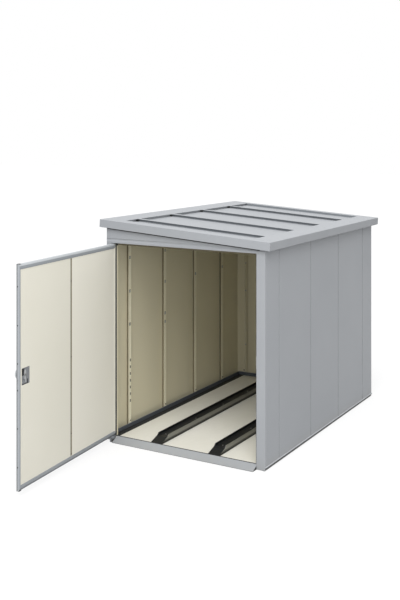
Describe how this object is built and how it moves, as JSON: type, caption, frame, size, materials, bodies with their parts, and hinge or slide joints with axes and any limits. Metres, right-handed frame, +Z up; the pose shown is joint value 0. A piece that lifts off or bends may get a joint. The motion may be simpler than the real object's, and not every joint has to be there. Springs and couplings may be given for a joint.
{
  "type": "bicycle locker",
  "caption": "Steel bicycle locker with a mono-pitch ribbed roof, side-hung double-skin door with knob lock, and raised wheel channels on its floor.",
  "frame": {"origin": "centre of the cabin's footprint, on the ground, on the underside of the middle floor bearer", "axes": "+X to the right seen from the door, +Y from the door to the back wall, +Z up"},
  "size_m": [1.3614, 3.1578, 1.5786],
  "materials": {
    "outside_paint": "satin silver-grey powder coat",
    "inside_paint": "satin cream coating",
    "galvanised": "bright galvanised",
    "channel_paint": "dark grey semi-gloss coating",
    "steel": "bright zinc-plated steel",
    "chrome": "polished"
  },
  "bodies": {
    "cabin": {"base_rail_right": "outside_paint", "base_rail_left": "outside_paint", "base_rail_back": "outside_paint", "sill_ramp": "outside_paint", "threshold": "outside_paint", "floor_bearer_1": "galvanised", "floor_bearer_2": "galvanised", "floor_bearer_3": "galvanised", "floor_panel_front": "inside_paint", "floor_panel_back": "inside_paint", "side_panel_right_1": "outside_paint", "side_panel_right_2": "outside_paint", "side_panel_right_3": "outside_paint", "side_panel_left_1": "outside_paint", "side_panel_left_2": "outside_paint", "side_panel_left_3": "outside_paint", "back_panel_right": "outside_paint", "back_panel_left": "outside_paint", "corner_panel_front_right": "outside_paint", "corner_panel_front_left": "outside_paint", "corner_panel_back_right": "outside_paint", "corner_panel_back_left": "outside_paint", "lintel": "outside_paint", "fascia_front": "outside_paint", "fascia_right": "outside_paint", "fascia_back": "outside_paint", "fascia_left": "outside_paint", "rib_cap_1": "outside_paint", "rib_cap_2": "outside_paint", "rib_cap_3": "outside_paint", "rib_cap_4": "outside_paint", "roof_pan_1": "outside_paint", "roof_pan_2": "outside_paint", "roof_pan_3": "outside_paint", "roof_pan_4": "outside_paint", "roof_pan_5": "outside_paint", "wheel_channel_left": "channel_paint", "wheel_channel_right": "channel_paint", "hinge_bracket_bottom": "channel_paint", "hinge_bracket_top": "channel_paint", "strike_plate": "galvanised"},
    "door": {"door_rail_bottom": "outside_paint", "door_stile_lock": "outside_paint", "door_rail_top": "outside_paint", "door_stile_hinge": "outside_paint", "door_skin": "outside_paint", "door_liner_hinge": "inside_paint", "door_liner_lock": "inside_paint", "door_mullion": "inside_paint", "hinge_shoe_bottom": "channel_paint", "hinge_shoe_top": "channel_paint", "lock_case": "galvanised", "knob_rose": "chrome"},
    "knob": {"door_knob": "chrome", "lock_cam": "steel"},
    "key": {"key_plug": "steel"},
    "bolt": {"lock_bolt": "steel"}
  },
  "joints": [
    {"name": "door_swing", "type": "hinge", "parent": "cabin", "child": "door", "pos_m": [-0.579, -0.9903, 0.725], "axis": [0, 0, 1], "range_deg": [-15, 84.6]},
    {"name": "knob_turn", "type": "hinge", "parent": "door", "child": "knob", "pos_m": [-0.4872, -2.06453, 0.724], "axis": [0.9956, 0.0941, 0], "range_deg": [0, 90]},
    {"name": "key_turn", "type": "hinge", "parent": "knob", "child": "key", "pos_m": [-0.4872, -2.06453, 0.724], "axis": [0.9956, 0.0941, 0], "range_deg": [0, 90]},
    {"name": "bolt_throw", "type": "slide", "parent": "door", "child": "bolt", "axis": [0.0941, -0.9956, 0], "range_m": [0, 0.0181]}
  ],
  "couplings": [
    {"joint": "bolt_throw", "follows": "knob_turn", "m_per_rad": 0.01146}
  ]
}
